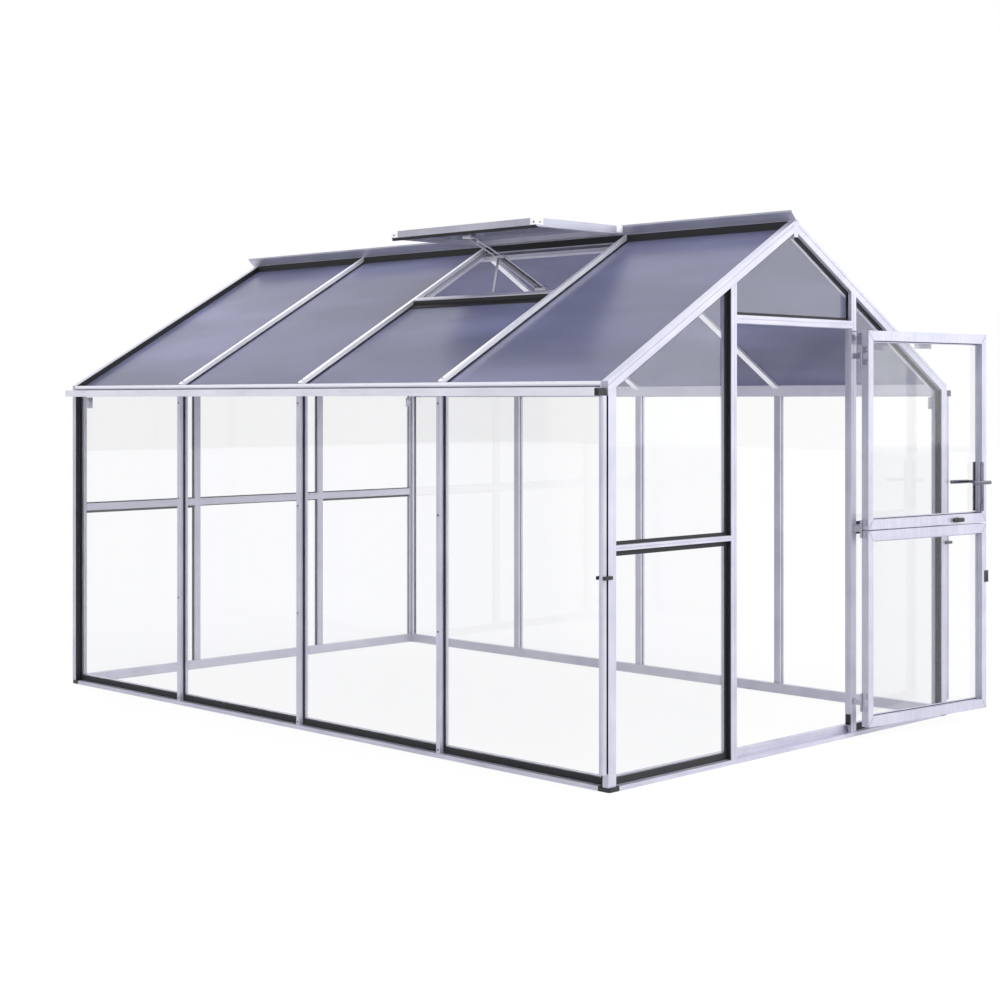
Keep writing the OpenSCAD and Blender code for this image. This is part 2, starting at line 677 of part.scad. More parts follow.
// The leaves lie in front of the posts and are drawn closed, then swung open about the hinge axis
leaf_y1 = face_inset - face_gap;
leaf_y0 = leaf_y1 - leaf_t;
hinge_y = leaf_y0;
leaf_x1 = hinge_x - hinge_off;
leaf_x0 = leaf_x1 - leaf_w;
lower_top = split_z - run_gap / 2;
upper_low = split_z + run_gap / 2;
door_glass_y = leaf_y0 + 4;

module opened() translate([hinge_x, hinge_y, 0]) rotate([0, 0, open_angle])
    translate([-hinge_x, -hinge_y, 0]) children();

module leaf_frame(z0, z1)
    difference() {
        translate([leaf_x0, leaf_y0, z0]) cube([leaf_w, leaf_t, z1 - z0]);
        translate([leaf_x0 + stile_w, leaf_y0 - 1, z0 + rail_h])
            cube([leaf_w - 2 * stile_w, leaf_t + 2, z1 - z0 - 2 * rail_h]);
    }

module leaf_glass(z0, z1)
    translate([leaf_x0 + stile_w, door_glass_y, z0 + rail_h])
        cube([leaf_w - 2 * stile_w, glass_t, z1 - z0 - 2 * rail_h]);

module leaf_beads(z0, z1)
    difference() {
        translate([leaf_x0 + stile_w, door_glass_y + glass_t, z0 + rail_h])
            cube([leaf_w - 2 * stile_w, seal_t, z1 - z0 - 2 * rail_h]);
        translate([leaf_x0 + stile_w + 8, door_glass_y, z0 + rail_h + 8])
            cube([leaf_w - 2 * stile_w - 16, 20, z1 - z0 - 2 * rail_h - 16]);
    }

// A leaf's hinge plate lies on its edge and ends in a knuckle on the hinge axis
module leaf_knuckle(z)
    translate([0, 0, z - knuckle_h / 2]) difference() {
        union() {
            translate([hinge_x, hinge_y, 0]) cylinder(h = knuckle_h, r = knuckle_r);
            translate([leaf_x1, leaf_y0, 0]) cube([3, leaf_t - 8, knuckle_h]);
        }
        translate([hinge_x, hinge_y, -1]) cylinder(h = knuckle_h + 2, r = pin_r + pin_gap);
    }

// A bracket on the post carries the pin of one hinge
module post_bracket(z, pin_low, pin_high) {
    arm_x = hinge_x + knuckle_r - 3;
    translate([0, 0, z - knuckle_h / 2]) {
        translate([hinge_x, hinge_y, 0]) cylinder(h = knuckle_h, r = knuckle_r);
        translate([arm_x, hinge_y, 0]) cube([3, face_inset - hinge_y, knuckle_h]);
        translate([arm_x, face_inset - 3, 0]) cube([post_x - 9 - arm_x, 3, knuckle_h]);
    }
    translate([hinge_x, hinge_y, pin_low]) cylinder(h = pin_high - pin_low, r = pin_r);
}

top_hinge_z = leaf_top - 115;
mid_hinge_z = split_z + 5;
low_hinge_z = leaf_z + 110;

module door_hinge_brackets() color("silver") house() {
    reach = knuckle_step + knuckle_h / 2;
    for (z = [top_hinge_z, mid_hinge_z, low_hinge_z]) post_bracket(z, z - reach, z + reach);
}

module upper_door_frame() color(metal) house() opened() leaf_frame(upper_low, leaf_top);
module upper_door_glass() color("lightcyan", 0.3) house() opened() leaf_glass(upper_low, leaf_top);
module upper_door_beads() color(metal) house() opened() leaf_beads(upper_low, leaf_top);
module upper_door_hinges() color("silver") house() opened()
    for (z = [top_hinge_z - knuckle_step, top_hinge_z + knuckle_step, mid_hinge_z + knuckle_step])
        leaf_knuckle(z);

module lower_door_frame() color(metal) house() opened() leaf_frame(leaf_z, lower_top);
module lower_door_glass() color("lightcyan", 0.3) house() opened() leaf_glass(leaf_z, lower_top);
module lower_door_beads() color(metal) house() opened() leaf_beads(leaf_z, lower_top);
module lower_door_hinges() color("silver") house() opened()
    for (z = [low_hinge_z - knuckle_step, low_hinge_z + knuckle_step, mid_hinge_z - knuckle_step])
        leaf_knuckle(z);

// Lever handle on both faces of the upper leaf's free stile
handle_x = leaf_x0 + 37;
plate_z0 = split_z + 57;
plate_h = 236;
plate_t = 6;
spindle_z = plate_z0 + 140;
lever_out = 55;
lever_l = 130;

module handle_side() {
    translate([handle_x - 11, 0, plate_z0]) cube([22, plate_t, plate_h]);
    translate([handle_x, plate_t - 1, spindle_z]) rotate([-90, 0, 0])
        cylinder(h = lever_out - plate_t - 6, d = 16);
    translate([handle_x - 8, lever_out - 14, spindle_z - 9]) cube([lever_l, 14, 18]);
}

module door_handle() color("silver") house() opened() {
    translate([0, leaf_y1, 0]) handle_side();
    translate([0, leaf_y0, 0]) mirror([0, 1, 0]) handle_side();
}

// Turn latch that holds the two leaves together, on the upper leaf's bottom rail
module door_turn_latch() color(dark) house() opened()
    translate([hinge_x - 644, leaf_y1, upper_low + 20]) {
        rotate([-90, 0, 0]) cylinder(h = 12, r = 12);
        translate([-40, 8, -10]) cube([80, 9, 20]);
    }

module door_stay_plate() color("dimgray") house() opened()
    translate([leaf_x1 - leaf_w / 2 - 59, leaf_y0, leaf_top - rail_h - 30]) cube([118, 4, 30]);

// Latch on the lower leaf's free edge
module lower_door_latch() color(dark) house() opened()
    translate([leaf_x0 - 15, leaf_y0 + 5, split_z - 286]) {
        cube([15, leaf_t - 5, 56]);
        translate([0, leaf_t - 5, 0]) cube([32, 1, 56]);
    }

front_sill();
back_sill();
side_sills();
sill_corner_caps();
corner_posts();
door_posts();
back_posts();
side_wall_bars();
gable_transoms();
door_head_rail();
eave_beams();
gutters();
gutter_outlets();
downpipes();
downpipe_clips();
front_rafters();
back_rafters();
roof_bars();
ridge_beam();
ridge_end_caps();
roof_vent_sill();
roof_vent_frame();
roof_vent_glass();
vent_opener();
side_wall_glass();
front_glass();
back_glass();
left_roof_glass();
right_roof_glass();
side_wall_seals();
gable_seals();
roof_seals();
door_hinge_brackets();
upper_door_frame();
upper_door_glass();
upper_door_beads();
upper_door_hinges();
door_handle();
door_turn_latch();
door_stay_plate();
lower_door_frame();
lower_door_glass();
lower_door_beads();
lower_door_hinges();
lower_door_latch();
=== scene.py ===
# Glass greenhouse with a stable door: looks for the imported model
import math
import bmesh
import bpy
from mathutils import Matrix, Vector


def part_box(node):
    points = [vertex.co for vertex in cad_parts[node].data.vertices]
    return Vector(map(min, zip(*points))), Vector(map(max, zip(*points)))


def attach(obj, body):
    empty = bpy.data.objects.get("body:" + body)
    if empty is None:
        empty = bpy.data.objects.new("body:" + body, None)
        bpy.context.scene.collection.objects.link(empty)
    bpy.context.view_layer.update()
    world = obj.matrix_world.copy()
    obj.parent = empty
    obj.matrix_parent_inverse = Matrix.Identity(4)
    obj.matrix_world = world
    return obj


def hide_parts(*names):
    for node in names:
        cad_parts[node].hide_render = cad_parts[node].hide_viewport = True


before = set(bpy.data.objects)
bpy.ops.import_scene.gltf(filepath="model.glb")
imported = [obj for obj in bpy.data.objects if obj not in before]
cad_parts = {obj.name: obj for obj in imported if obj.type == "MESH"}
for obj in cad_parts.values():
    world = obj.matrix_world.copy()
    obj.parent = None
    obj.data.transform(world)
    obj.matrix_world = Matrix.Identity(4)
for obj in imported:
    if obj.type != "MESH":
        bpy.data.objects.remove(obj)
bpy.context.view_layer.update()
print("frame loaded:", len(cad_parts), "nodes")

camera = {
    "place": (-6.5225, -4.704, 1.537),
    "heading": -45.015,  # degrees, looking level
    "lens": 64.94,
    "shift": -0.1005,
}

bpy.ops.object.camera_add(location=camera["place"])
view = bpy.context.object
view.name = "houseCamera"
view.rotation_euler = (math.radians(90), 0, math.radians(camera["heading"]))
view.data.lens = camera["lens"]
view.data.sensor_width = 36
view.data.shift_y = camera["shift"]
view.data.clip_end = 200
bpy.context.scene.camera = view


def linearColour(hexText, alpha=1.0):
    parts = [int(hexText[i:i + 2], 16) / 255 for i in (1, 3, 5)]
    return [p / 12.92 if p <= 0.04045 else ((p + 0.055) / 1.055) ** 2.4 for p in parts] + [alpha]


def addNode(tree, kind, settings=None, inputs=None, links=None):
    node = tree.nodes.new(kind)
    for name, value in (settings or {}).items():
        setattr(node, name, value)
    for name, value in (inputs or {}).items():
        node.inputs[name].default_value = value
    for name, source in (links or {}).items():
        tree.links.new(source, node.inputs[name])
    return node


def newMaterial(name):
    material = bpy.data.materials.new(name)
    material.use_nodes = True
    material.node_tree.nodes.clear()
    return material, material.node_tree


def colourRamp(tree, source, stops):
    node = addNode(tree, "ShaderNodeValToRGB", links={"Fac": source})
    ramp = node.color_ramp
    ramp.elements[0].position, ramp.elements[0].color = stops[0]
    ramp.elements[1].position, ramp.elements[1].color = stops[-1]
    for position, colour in stops[1:-1]:
        ramp.elements.new(position).color = colour
    return node


# Satin anodised aluminium: pale with a cool cast, and faint die lines along each bar
aluminium = {
    "light": "#C6C6D4",
    "dark": "#A8A8BA",
    "metallic": 0.55,
    "roughness": (0.30, 0.44),
    "lineGap": 2.5,     # mm between die lines, drawn coarser than the real 0.3 mm so that they show
    "lineLength": 400,  # mm
}


def makeAluminium(name, along, tilt=0.0, light=aluminium["light"], dark=aluminium["dark"]):
    material, tree = newMaterial(name)
    place = addNode(tree, "ShaderNodeTexCoord")
    gap, length = 1000 / aluminium["lineGap"], 1000 / aluminium["lineLength"]
    scale = [length if axis == along else gap for axis in "xyz"]
    turned = addNode(tree, "ShaderNodeMapping", {"vector_type": "POINT"},
                     {"Rotation": (0, math.radians(tilt), 0)}, {"Vector": place.outputs["Object"]})
    lines = addNode(tree, "ShaderNodeMapping", {"vector_type": "POINT"}, {"Scale": scale},
                    {"Vector": turned.outputs["Vector"]})
    dieLines = addNode(tree, "ShaderNodeTexNoise", {},
                       {"Scale": 1.0, "Detail": 2.0, "Roughness": 0.5}, {"Vector": lines.outputs["Vector"]})
    cloud = addNode(tree, "ShaderNodeTexNoise", {},
                    {"Scale": 5.0, "Detail": 3.0, "Roughness": 0.6}, {"Vector": place.outputs["Object"]})
    both = addNode(tree, "ShaderNodeMix", {"data_type": "FLOAT"}, {"Factor": 0.45},
                   {"A": dieLines.outputs["Fac"], "B": cloud.outputs["Fac"]})
    colours = colourRamp(tree, both.outputs["Result"], [
        (0.30, linearColour(dark)), (0.62, linearColour(light))])
    low, high = aluminium["roughness"]
    sheen = addNode(tree, "ShaderNodeMapRange", {},
                    {"From Min": 0.3, "From Max": 0.7, "To Min": low, "To Max": high},
                    {"Value": both.outputs["Result"]})
    bump = addNode(tree, "ShaderNodeBump", {}, {"Strength": 0.12, "Distance": 0.0004},
                   {"Height": dieLines.outputs["Fac"]})
    shader = addNode(tree, "ShaderNodeBsdfPrincipled", {}, {"Metallic": aluminium["metallic"]},
                     {"Base Color": colours.outputs["Color"], "Roughness": sheen.outputs["Result"],
                      "Normal": bump.outputs["Normal"]})
    addNode(tree, "ShaderNodeOutputMaterial", {}, {}, {"Surface": shader.outputs["BSDF"]})
    return material


# Clear horticultural glass: a mirror where it is seen edge on, and almost nothing face on
clearGlassLook = {"film": 0.003, "gloss": 0.12, "face": "#F6F8FA"}


def makeClearGlass(name):
    material, tree = newMaterial(name)
    place = addNode(tree, "ShaderNodeTexCoord")
    cloud = addNode(tree, "ShaderNodeTexNoise", {}, {"Scale": 1.6, "Detail": 2.0, "Roughness": 0.5},
                    {"Vector": place.outputs["Object"]})
    film = addNode(tree, "ShaderNodeMapRange", {}, {
        "From Min": 0.3, "From Max": 0.7,
        "To Min": 0.5 * clearGlassLook["film"], "To Max": 1.5 * clearGlassLook["film"]},
        {"Value": cloud.outputs["Fac"]})
    edge = addNode(tree, "ShaderNodeFresnel", {}, {"IOR": 1.45})
    mirror = addNode(tree, "ShaderNodeMath", {"operation": "MULTIPLY_ADD"}, {1: clearGlassLook["gloss"]},
                     {0: edge.outputs["Fac"], 2: film.outputs["Result"]})
    clear = addNode(tree, "ShaderNodeBsdfTransparent", {}, {"Color": (0.982, 0.982, 0.984, 1)})
    face = addNode(tree, "ShaderNodeBsdfPrincipled", {},
                   {"Base Color": linearColour(clearGlassLook["face"]), "Roughness": 0.03, "Metallic": 1.0})
    mixed = addNode(tree, "ShaderNodeMixShader", {}, {}, {
        0: mirror.outputs["Value"], 1: clear.outputs["BSDF"], 2: face.outputs["BSDF"]})
    addNode(tree, "ShaderNodeOutputMaterial", {}, {}, {"Surface": mixed.outputs["Shader"]})
    return material


# Roof glass: grey with a lavender cast, and soft pale streaks in its colour that are a painted reflection of
# the sky
roofGlassTintAndPaintedReflection = {"dark": "#5C5E78", "middle": "#686A88", "pale": "#787B9C", "alpha": 0.92}


def makeRoofGlass(name):
    material, tree = newMaterial(name)
    place = addNode(tree, "ShaderNodeTexCoord")
    spread = addNode(tree, "ShaderNodeMapping", {}, {"Rotation": (0, 0, 0.6), "Scale": (1.9, 0.5, 1.9)},
                     {"Vector": place.outputs["Object"]})
    cloud = addNode(tree, "ShaderNodeTexNoise", {}, {"Scale": 1.3, "Detail": 2.5, "Roughness": 0.5},
                    {"Vector": spread.outputs["Vector"]})
    # The streaked noise paints the sky's reflection into the base colour
    colours = colourRamp(tree, cloud.outputs["Fac"], [
        (0.35, linearColour(roofGlassTintAndPaintedReflection["dark"])), (0.55, linearColour(roofGlassTintAndPaintedReflection["middle"])),
        (0.72, linearColour(roofGlassTintAndPaintedReflection["pale"]))])
    shader = addNode(tree, "ShaderNodeBsdfPrincipled", {},
                     {"Roughness": 0.22, "IOR": 1.45, "Specular IOR Level": 0.15,
                      "Alpha": roofGlassTintAndPaintedReflection["alpha"]},
                     {"Base Color": colours.outputs["Color"]})
    addNode(tree, "ShaderNodeOutputMaterial", {}, {}, {"Surface": shader.outputs["BSDF"]})
    return material


# Moulded or extruded dark parts: rubber seals and plastic fittings
def makeDark(name, low, high, roughness, grain):
    material, tree = newMaterial(name)
    place = addNode(tree, "ShaderNodeTexCoord")
    noise = addNode(tree, "ShaderNodeTexNoise", {},
                    {"Scale": 1000 / grain, "Detail": 3.0, "Roughness": 0.6},
                    {"Vector": place.outputs["Object"]})
    colours = colourRamp(tree, noise.outputs["Fac"], [
        (0.35, linearColour(low)), (0.7, linearColour(high))])
    rough = addNode(tree, "ShaderNodeMapRange", {},
                    {"To Min": roughness - 0.08, "To Max": roughness + 0.08},
                    {"Value": noise.outputs["Fac"]})
    bump = addNode(tree, "ShaderNodeBump", {}, {"Strength": 0.2, "Distance": 0.0003},
                   {"Height": noise.outputs["Fac"]})
    shader = addNode(tree, "ShaderNodeBsdfPrincipled", {}, {},
                     {"Base Color": colours.outputs["Color"], "Roughness": rough.outputs["Result"],
                      "Normal": bump.outputs["Normal"]})
    addNode(tree, "ShaderNodeOutputMaterial", {}, {}, {"Surface": shader.outputs["BSDF"]})
    return material


# Satin zinc-plated steel and cast alloy fittings
def makeFittingMetal(name, low, high, roughness):
    material, tree = newMaterial(name)
    place = addNode(tree, "ShaderNodeTexCoord")
    noise = addNode(tree, "ShaderNodeTexNoise", {}, {"Scale": 160.0, "Detail": 4.0, "Roughness": 0.6},
                    {"Vector": place.outputs["Object"]})
    colours = colourRamp(tree, noise.outputs["Fac"], [
        (0.35, linearColour(low)), (0.68, linearColour(high))])
    rough = addNode(tree, "ShaderNodeMapRange", {},
                    {"To Min": roughness - 0.1, "To Max": roughness + 0.1},
                    {"Value": noise.outputs["Fac"]})
    shader = addNode(tree, "ShaderNodeBsdfPrincipled", {}, {"Metallic": 1.0},
                     {"Base Color": colours.outputs["Color"], "Roughness": rough.outputs["Result"]})
    addNode(tree, "ShaderNodeOutputMaterial", {}, {}, {"Surface": shader.outputs["BSDF"]})
    return material


barX = makeAluminium("anodised_aluminium_across", "x")
barY = makeAluminium("anodised_aluminium_along", "y")
barZ = makeAluminium("anodised_aluminium_upright", "z")
slopeBar = makeAluminium("anodised_aluminium_slope", "x", 30)
# Paler copies of the same aluminium for the roof bars, eave beams and gutters: painted highlight for the
# light that falls on their upper faces
paintedLitSlopeBar = makeAluminium("aluminium_slope_painted_highlight", "x", 30, "#F4F4FA", "#E2E2EC")
paintedLitBeam = makeAluminium("aluminium_along_painted_highlight", "y", 0, "#E6E6F2", "#D2D2E0")
clearGlass = makeClearGlass("horticultural_glass")
roofGlass = makeRoofGlass("grey_roof_glass_painted_reflection")
sealRubber = makeDark("epdm_glazing_rubber", "#0C0D12", "#1A1B22", 0.6, 6)
blackPlastic = makeDark("moulded_black_polypropylene", "#0E0F12", "#1C1D22", 0.42, 1.5)
whiteCap = makeDark("moulded_pale_nylon", "#ECECF2", "#F8F8FC", 0.45, 2)
fittingSteel = makeFittingMetal("zinc_plated_steel", "#A2A2B0", "#C6C6D2", 0.34)
darkSteel = makeFittingMetal("blackened_steel", "#5C5C68", "#80808C", 0.36)

finishes = {
    barX: ["front_sill", "back_sill", "gable_transoms", "door_head_rail", "roof_vent_frame"],
    barY: ["side_sills", "ridge_beam", "roof_vent_sill"],
    paintedLitBeam: ["eave_beams", "gutters"],
    barZ: ["corner_posts", "door_posts", "back_posts", "side_wall_bars", "downpipes",
           "upper_door_frame", "lower_door_frame", "upper_door_beads", "lower_door_beads"],
    slopeBar: ["front_rafters", "back_rafters"],
    paintedLitSlopeBar: ["roof_bars"],
    clearGlass: ["side_wall_glass", "front_glass", "back_glass", "upper_door_glass", "lower_door_glass"],
    roofGlass: ["left_roof_glass", "right_roof_glass", "roof_vent_glass"],
    sealRubber: ["side_wall_seals", "gable_seals", "roof_seals"],
    blackPlastic: ["sill_corner_caps", "gutter_outlets", "downpipe_clips"],
    whiteCap: ["ridge_end_caps"],
    fittingSteel: ["door_hinge_brackets", "upper_door_hinges", "lower_door_hinges", "door_stay_plate"],
}
for finish, names in finishes.items():
    for name in names:
        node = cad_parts[name]
        node.data.materials.clear()
        node.data.materials.append(finish)
print("finishes set")

# Metres. The front is the outer face of the front sill
house = {
    "front": -0.03,
    "back": 3.854,
    "halfWidth": 1.2425,
    "firstBar": 0.9545,
    "bay": 0.9575,
    "eave": 1.61,
    "pitch": math.radians(30),
}
barMiddles = [house["firstBar"] + i * house["bay"] for i in range(3)]
apex = house["eave"] + house["halfWidth"] * math.tan(house["pitch"])


def roofHeight(x, depth=0.0):
    return apex - abs(x) * math.tan(house["pitch"]) - depth / math.cos(house["pitch"])


# A block between two corners; turn is a matrix that places it afterwards
def addBlock(mesh, low, high, rounding=0.0, steps=2, turn=Matrix()):
    size = [b - a for a, b in zip(low, high)]
    middle = [(a + b) / 2 for a, b in zip(low, high)]
    place = turn @ Matrix.Translation(middle) @ Matrix.Diagonal((*size, 1))
    corners = bmesh.ops.create_cube(mesh, size=1, matrix=place)["verts"]
    if rounding:
        edges = list({edge for corner in corners for edge in corner.link_edges})
        bmesh.ops.bevel(mesh, geom=edges, offset=rounding, segments=steps, profile=0.5,
                        affect="EDGES", material=-1)


def addRod(mesh, start, end, radius, rounding=0.0, sides=24, turn=Matrix(), tip=None):
    start, end = Vector(start), Vector(end)
    along = end - start
    place = turn @ Matrix.Translation((start + end) / 2) @ along.to_track_quat("Z", "Y").to_matrix().to_4x4()
    made = bmesh.ops.create_cone(mesh, cap_ends=True, segments=sides, radius1=radius,
                                 radius2=radius if tip is None else tip, depth=along.length, matrix=place)
    caps = [face for face in {f for v in made["verts"] for f in v.link_faces} if len(face.verts) == sides]
    if rounding:
        edges = list({edge for cap in caps for edge in cap.edges})
        bmesh.ops.bevel(mesh, geom=edges, offset=rounding, segments=3, profile=0.5,
                        affect="EDGES", material=-1)
    return caps


screwLook = {"radius": 0.0055, "height": 0.0022, "recess": 0.0012}


# A pan-head screw with a recess, standing out from a face
def addScrew(mesh, place, out, turn=Matrix(), size=1.0):
    place, out = Vector(place), Vector(out).normalized()
    head = screwLook["height"] * size
    caps = addRod(mesh, place - out * 0.001, place + out * head, screwLook["radius"] * size, sides=16,
                  turn=turn, tip=screwLook["radius"] * 0.72 * size)
    target = turn @ (place + out * head)
    top = min(caps, key=lambda face: (face.calc_center_median() - target).length)
    bmesh.ops.inset_individual(mesh, faces=[top], thickness=screwLook["radius"] * 0.36 * size,
                               depth=-screwLook["recess"] * size)


def keepPiece(name, mesh, finish, body, replaced=()):
    bmesh.ops.recalc_face_normals(mesh, faces=mesh.faces)
    data = bpy.data.meshes.new(name)
    mesh.to_mesh(data)
    mesh.free()
    data.materials.append(finish)
    data.shade_smooth()
    data.set_sharp_from_angle(angle=math.radians(35))
    piece = bpy.data.objects.new(name, data)
    bpy.context.scene.collection.objects.link(piece)
    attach(piece, body)
    if replaced:
        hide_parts(*replaced)
    return piece


# Screws on the wall bars' noses and the roof bars' ends
barScrews = {"faceIn": 0.005, "heights": (0.034, 0.54, 1.04, 1.52), "roofEnd": 0.032}

screws = bmesh.new()
for side in (-1, 1):
    wallFace = side * (house["halfWidth"] - barScrews["faceIn"])
    for middle in barMiddles:
        for height in barScrews["heights"]:
            addScrew(screws, (wallFace, middle, height), (side, 0, 0))
        endX = side * (house["halfWidth"] - barScrews["roofEnd"])
        slopeOut = (side * math.sin(house["pitch"]), 0, math.cos(house["pitch"]))
        addScrew(screws, (endX, middle, roofHeight(endX)), slopeOut)
keepPiece("bar_screws", screws, darkSteel, "frame")

# Ends of the roof bars: small rounded feet in front of the noses' cut ends
roofFoot = {"in": 0.018, "deep": 0.020, "proud": 0.0005, "radius": 0.0108, "rounding": 0.002}

feet = bmesh.new()
slopeTurn = {side: Matrix.Rotation(side * house["pitch"], 4, "Y") for side in (-1, 1)}
for side in (-1, 1):
    for middle in barMiddles:
        footX = house["halfWidth"] - roofFoot["in"]
        turn = Matrix.Translation((side * footX, middle, roofHeight(footX))) @ slopeTurn[side]
        addRod(feet, (0, 0, -roofFoot["deep"]), (0, 0, roofFoot["proud"]), roofFoot["radius"],
               roofFoot["rounding"], turn=turn)
keepPiece("roof_bar_feet", feet, paintedLitSlopeBar, "frame")

# Strips: dark rubber on the sides of the roof bars, painted shadow in the gap beside the downpipes, and along
# the eave beams a dark grey line of painted groove shade and a white trim
strips = {"depth": (0.0190, 0.0215), "proud": 0.0006, "eaveGrooveShade": (1.5855, 1.5915),
          "eaveTrim": (1.5975, 1.6095), "pipeGapShadow": (0.073, 1.551),
          "barHalf": 0.011, "eaveEnd": 0.022, "ridgeEnd": 0.018, "beamProud": 0.006}

insertsAndGapShadow = bmesh.new()
eaveGrooveShadeStrips = bmesh.new()
eaveTrims = bmesh.new()
for side in (-1, 1):
    for middle in barMiddles:
        for face in (-1, 1):
            lowX, highX = house["halfWidth"] - strips["eaveEnd"], strips["ridgeEnd"]
            run = (lowX - highX) / math.cos(house["pitch"])
            start = Vector((side * lowX, middle + face * strips["barHalf"], roofHeight(lowX)))
            turn = Matrix.Translation(start) @ slopeTurn[side]
            ends = (0, -side * run)
            addBlock(insertsAndGapShadow, (min(ends), -strips["proud"], -strips["depth"][1]),
                     (max(ends), strips["proud"], -strips["depth"][0]), turn=turn)
    beam = side * (house["halfWidth"] + strips["beamProud"])
    # The dark grey eave line is painted shade in the groove along the beam's face
    for line, band in ((eaveGrooveShadeStrips, strips["eaveGrooveShade"]), (eaveTrims, strips["eaveTrim"])):
        addBlock(line, (beam - 0.0005, 0.012, band[0]), (beam + 0.0005, house["back"] - 0.042, band[1]))
    # Black strip on the post's side beside the downpipe: painted shadow of the gap between pipe and post
    post = side * (house["halfWidth"] + 0.0003)
    addBlock(insertsAndGapShadow, (post - 0.0004, -0.0245, strips["pipeGapShadow"][0]),
             (post + 0.0004, -0.004, strips["pipeGapShadow"][1]))
keepPiece("insert_and_gap_shadow_strips", insertsAndGapShadow, sealRubber, "frame")
keepPiece("eave_groove_shade", eaveGrooveShadeStrips, darkSteel, "frame")
keepPiece("eave_trims", eaveTrims, whiteCap, "frame")

# Plates at the top of the hinge post, at the posts' feet and in the corners under the eaves
doorway = {"inner": 0.425, "face": -0.025, "plate": (0.427, 0.462), "plateOut": 0.003}
cornerPlate = {"in": 0.062, "wide": 0.034, "thick": 0.003, "low": 1.49, "high": 1.548, "endIn": 0.049}

plates = bmesh.new()
plateFace = doorway["face"] - doorway["plateOut"]
plateLow, plateHigh = doorway["plate"]
addBlock(plates, (plateLow, plateFace, 1.793), (plateHigh, doorway["face"], 1.851), 0.001)
addBlock(plates, (plateLow, plateFace, 1.843), (plateHigh, doorway["face"] + 0.001, 1.860), 0.001)
for height in (1.803, 1.836):
    addScrew(plates, ((plateLow + plateHigh) / 2, plateFace, height), (0, -1, 0), size=0.8)
for side in (-1, 1):
    footSide = side * doorway["inner"]
    inwards = footSide - side * 0.022
    addBlock(plates, (min(footSide, inwards), -0.018, 0.0495), (max(footSide, inwards), 0.004, 0.0535), 0.001)
    for end, out in ((house["back"] - cornerPlate["endIn"], -1), (house["front"] + cornerPlate["endIn"], 1)):
        corner = side * (house["halfWidth"] - cornerPlate["in"])
        inner = corner - side * cornerPlate["wide"]
        face = end + out * cornerPlate["thick"]
        addBlock(plates, (min(corner, inner), min(end, face), cornerPlate["low"]),
                 (max(corner, inner), max(end, face), cornerPlate["high"]), 0.001)
        for height in (1.502, 1.534):
            addScrew(plates, ((corner + inner) / 2, face, height), (0, out, 0), size=0.8)
keepPiece("corner_plates", plates, fittingSteel, "frame")

# Black blocks at the feet of the door posts
postFeet = bmesh.new()
for side in (-1, 1):
    inner = side * doorway["inner"]
    addBlock(postFeet, (min(inner, inner - side * 0.008), -0.020, 0.0535),
             (max(inner, inner - side * 0.008), 0.002, 0.100), 0.0015)
keepPiece("door_post_feet", postFeet, blackPlastic, "frame")
print("frame fittings made")

# Two screws on each ridge end cap. Those at the back are sunk flush with the cap's face
capScrew = {"x": 0.040, "z": 2.356, "frontOut": 0.009, "backOut": 0.0076, "size": 0.6}

capScrews = bmesh.new()
for end, out in ((house["front"] - capScrew["frontOut"], -1), (house["back"] + capScrew["backOut"], 1)):
    for side in (-1, 1):
        addScrew(capScrews, (side * capScrew["x"], end, capScrew["z"]), (0, out, 0), size=capScrew["size"])
keepPiece("ridge_cap_screws", capScrews, fittingSteel, "frame")

# Roof vent: a black sill cover, pale corner caps and a dark weather strip with screws
sashLow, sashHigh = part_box("roof_vent_frame")
vent = {"cap": 0.042, "skin": 0.0012, "sillStep": 0.010}

# Black cover on the vent sill's lower face
sillLow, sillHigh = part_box("roof_vent_sill")
cover = bmesh.new()
coverX = sillLow[0] + vent["sillStep"]
addBlock(cover, (coverX - 0.0018, sillLow[1] + 0.001, roofHeight(coverX, 0.022)),
         (coverX + 0.0002, sillHigh[1] - 0.001, roofHeight(coverX, 0.005)), 0.0005)
keepPiece("vent_sill_cover", cover, sealRubber, "frame")

caps = bmesh.new()
for y, inwards in ((sashLow[1], 1), (sashHigh[1], -1)):
    for x, along in ((sashLow[0], 1), (sashHigh[0] - 0.002, -1)):
        cornerA = (x - along * vent["skin"], y - inwards * vent["skin"], sashLow[2] + 0.006)
        cornerB = (x + along * vent["cap"], y + inwards * vent["cap"], sashHigh[2] + vent["skin"])
        lows = [min(a, b) for a, b in zip(cornerA, cornerB)]
        highs = [max(a, b) for a, b in zip(cornerA, cornerB)]
        addBlock(caps, lows, highs, 0.0025, 3)
keepPiece("vent_corner_caps", caps, whiteCap, "frame")

weather = bmesh.new()
addBlock(weather, (sashLow[0] - 0.001, sashLow[1] + 0.004, sashLow[2] - 0.008),
         (sashLow[0] + 0.012, sashHigh[1] - 0.004, sashLow[2] + 0.006), 0.0015)
sashMiddle = (sashLow[2] + sashHigh[2]) / 2
for y, inwards in ((sashLow[1], 1), (sashHigh[1], -1)):
    addScrew(weather, (sashLow[0] - vent["skin"], y + inwards * 0.018, sashMiddle), (-1, 0, 0), size=0.9)
    addScrew(weather, (sashLow[0] + 0.02, y - inwards * vent["skin"], sashMiddle), (0, -inwards, 0), size=0.9)
keepPiece("vent_weather_strip", weather, sealRubber, "frame")

# Vent opener: a thrust cylinder between two rods, a twin arm to the sash and a strut to the vent sill
opener = {
    "y": 1.4325,
    "sash": (-0.584, apex - 0.020),
    "elbow": (-0.391, apex - 0.101),
    "knee": (-0.431, apex - 0.281),
    "sill": (-0.486, roofHeight(0.486, 0.044)),
    "tube": (-0.100, apex - 0.241),
}


def openerPoint(name, offset=0.0):
    x, z = opener[name]
    return Vector((x, opener["y"] + offset, z))


